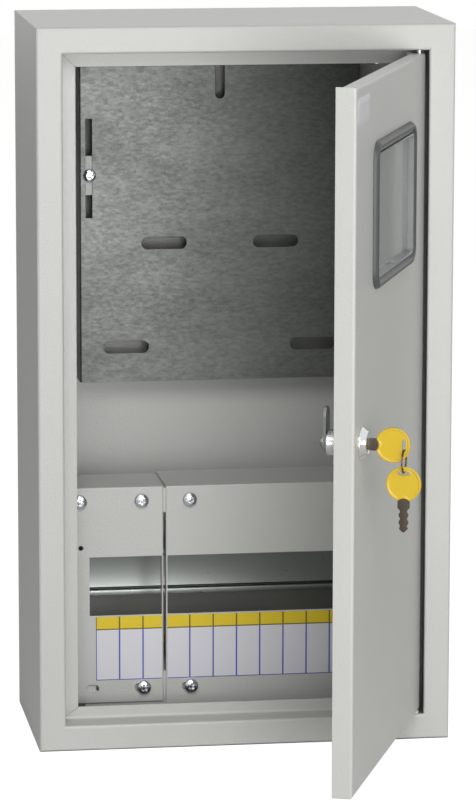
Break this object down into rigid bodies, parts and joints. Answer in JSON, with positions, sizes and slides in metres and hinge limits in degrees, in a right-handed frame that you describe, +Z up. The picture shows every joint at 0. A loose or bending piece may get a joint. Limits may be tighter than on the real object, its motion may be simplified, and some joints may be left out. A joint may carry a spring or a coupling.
{
  "type": "electric meter box",
  "caption": "Wall-mounted sheet-steel meter box with a recessed hinged door, a sealed window, a cam lock with keys, a slotted meter panel and covered module rail.",
  "frame": {"origin": "centre of the four wall holes, on the back face that lies against the wall", "axes": "+Z up, -Y towards the front and the door, +X to the right seen from the front"},
  "size_m": [0.31, 0.4021, 0.54],
  "materials": {
    "enclosure_paint": "light grey powder coat, fine texture, semi-gloss",
    "galvanised_sheet": "hot-dip galvanised, soft spangle",
    "bright_zinc": "bright zinc plate",
    "lock_chrome": "polished chrome plate",
    "key_metal": "satin nickel, darkened",
    "key_bow_yellow": "moulded, semi-gloss",
    "seal_rubber": "matt extruded rubber",
    "clear_pane": "clear moulded plastic",
    "nylon": "natural nylon",
    "label_white": "printed film",
    "terminal_brass": "plain brass",
    "terminal_screw_zinc": "zinc plate",
    "terminal_base": "moulded insulating plastic",
    "plug_rubber": "moulded grey rubber"
  },
  "bodies": {
    "case": {"case_shell": "enclosure_paint", "rear_wall": "enclosure_paint", "hinge_pin_upper": "bright_zinc", "hinge_pin_lower": "bright_zinc", "hinge_washer": "nylon", "meter_panel": "galvanised_sheet", "panel_bracket_left": "enclosure_paint", "panel_bracket_right": "enclosure_paint", "panel_screws": "bright_zinc", "din_rail": "bright_zinc", "rail_stand_left": "enclosure_paint", "rail_stand_right": "enclosure_paint", "rail_screws": "bright_zinc", "cover_rail_upper": "enclosure_paint", "cover_rail_lower": "enclosure_paint", "main_switch_cover": "enclosure_paint", "breaker_cover": "enclosure_paint", "cover_screws": "bright_zinc", "label_strip_left": "label_white", "label_strip_right": "label_white", "neutral_bar_base": "terminal_base", "neutral_bar": "terminal_brass", "neutral_bar_screws": "terminal_screw_zinc", "earth_bar_base": "terminal_base", "earth_bar": "terminal_brass", "earth_bar_screws": "terminal_screw_zinc", "entry_plugs": "plug_rubber"},
    "door": {"door_panel": "enclosure_paint", "window_seal": "seal_rubber", "window_pane": "clear_pane", "lock_housing": "lock_chrome", "lock_nut": "lock_chrome"},
    "barrel": {"lock_barrel": "lock_chrome", "lock_cam": "bright_zinc", "lock_cam_screw": "bright_zinc", "key_blade": "key_metal", "key_bow": "key_bow_yellow"},
    "ring": {"key_ring": "key_metal"},
    "spare": {"spare_key_blade": "key_metal", "spare_key_bow": "key_bow_yellow"}
  },
  "joints": [
    {"name": "door_hinge", "type": "hinge", "parent": "case", "child": "door", "pos_m": [0.1285, -0.1559, 0], "axis": [0, 0, 1], "range_deg": [-69, 41]},
    {"name": "lock_turn", "type": "hinge", "parent": "door", "child": "barrel", "pos_m": [0.04732, -0.37882, -0.001], "axis": [0.9336, -0.3584, 0], "range_deg": [0, 90]},
    {"name": "key_ring_swing", "type": "hinge", "parent": "barrel", "child": "ring", "pos_m": [0.07533, -0.38957, -0.0043], "axis": [-0.3584, -0.9336, 0], "range_deg": [-12, 30]},
    {"name": "spare_key_swing", "type": "hinge", "parent": "ring", "child": "spare", "pos_m": [0.07533, -0.38957, -0.0201], "axis": [-0.3584, -0.9336, 0], "range_deg": [-10, 30]}
  ]
}
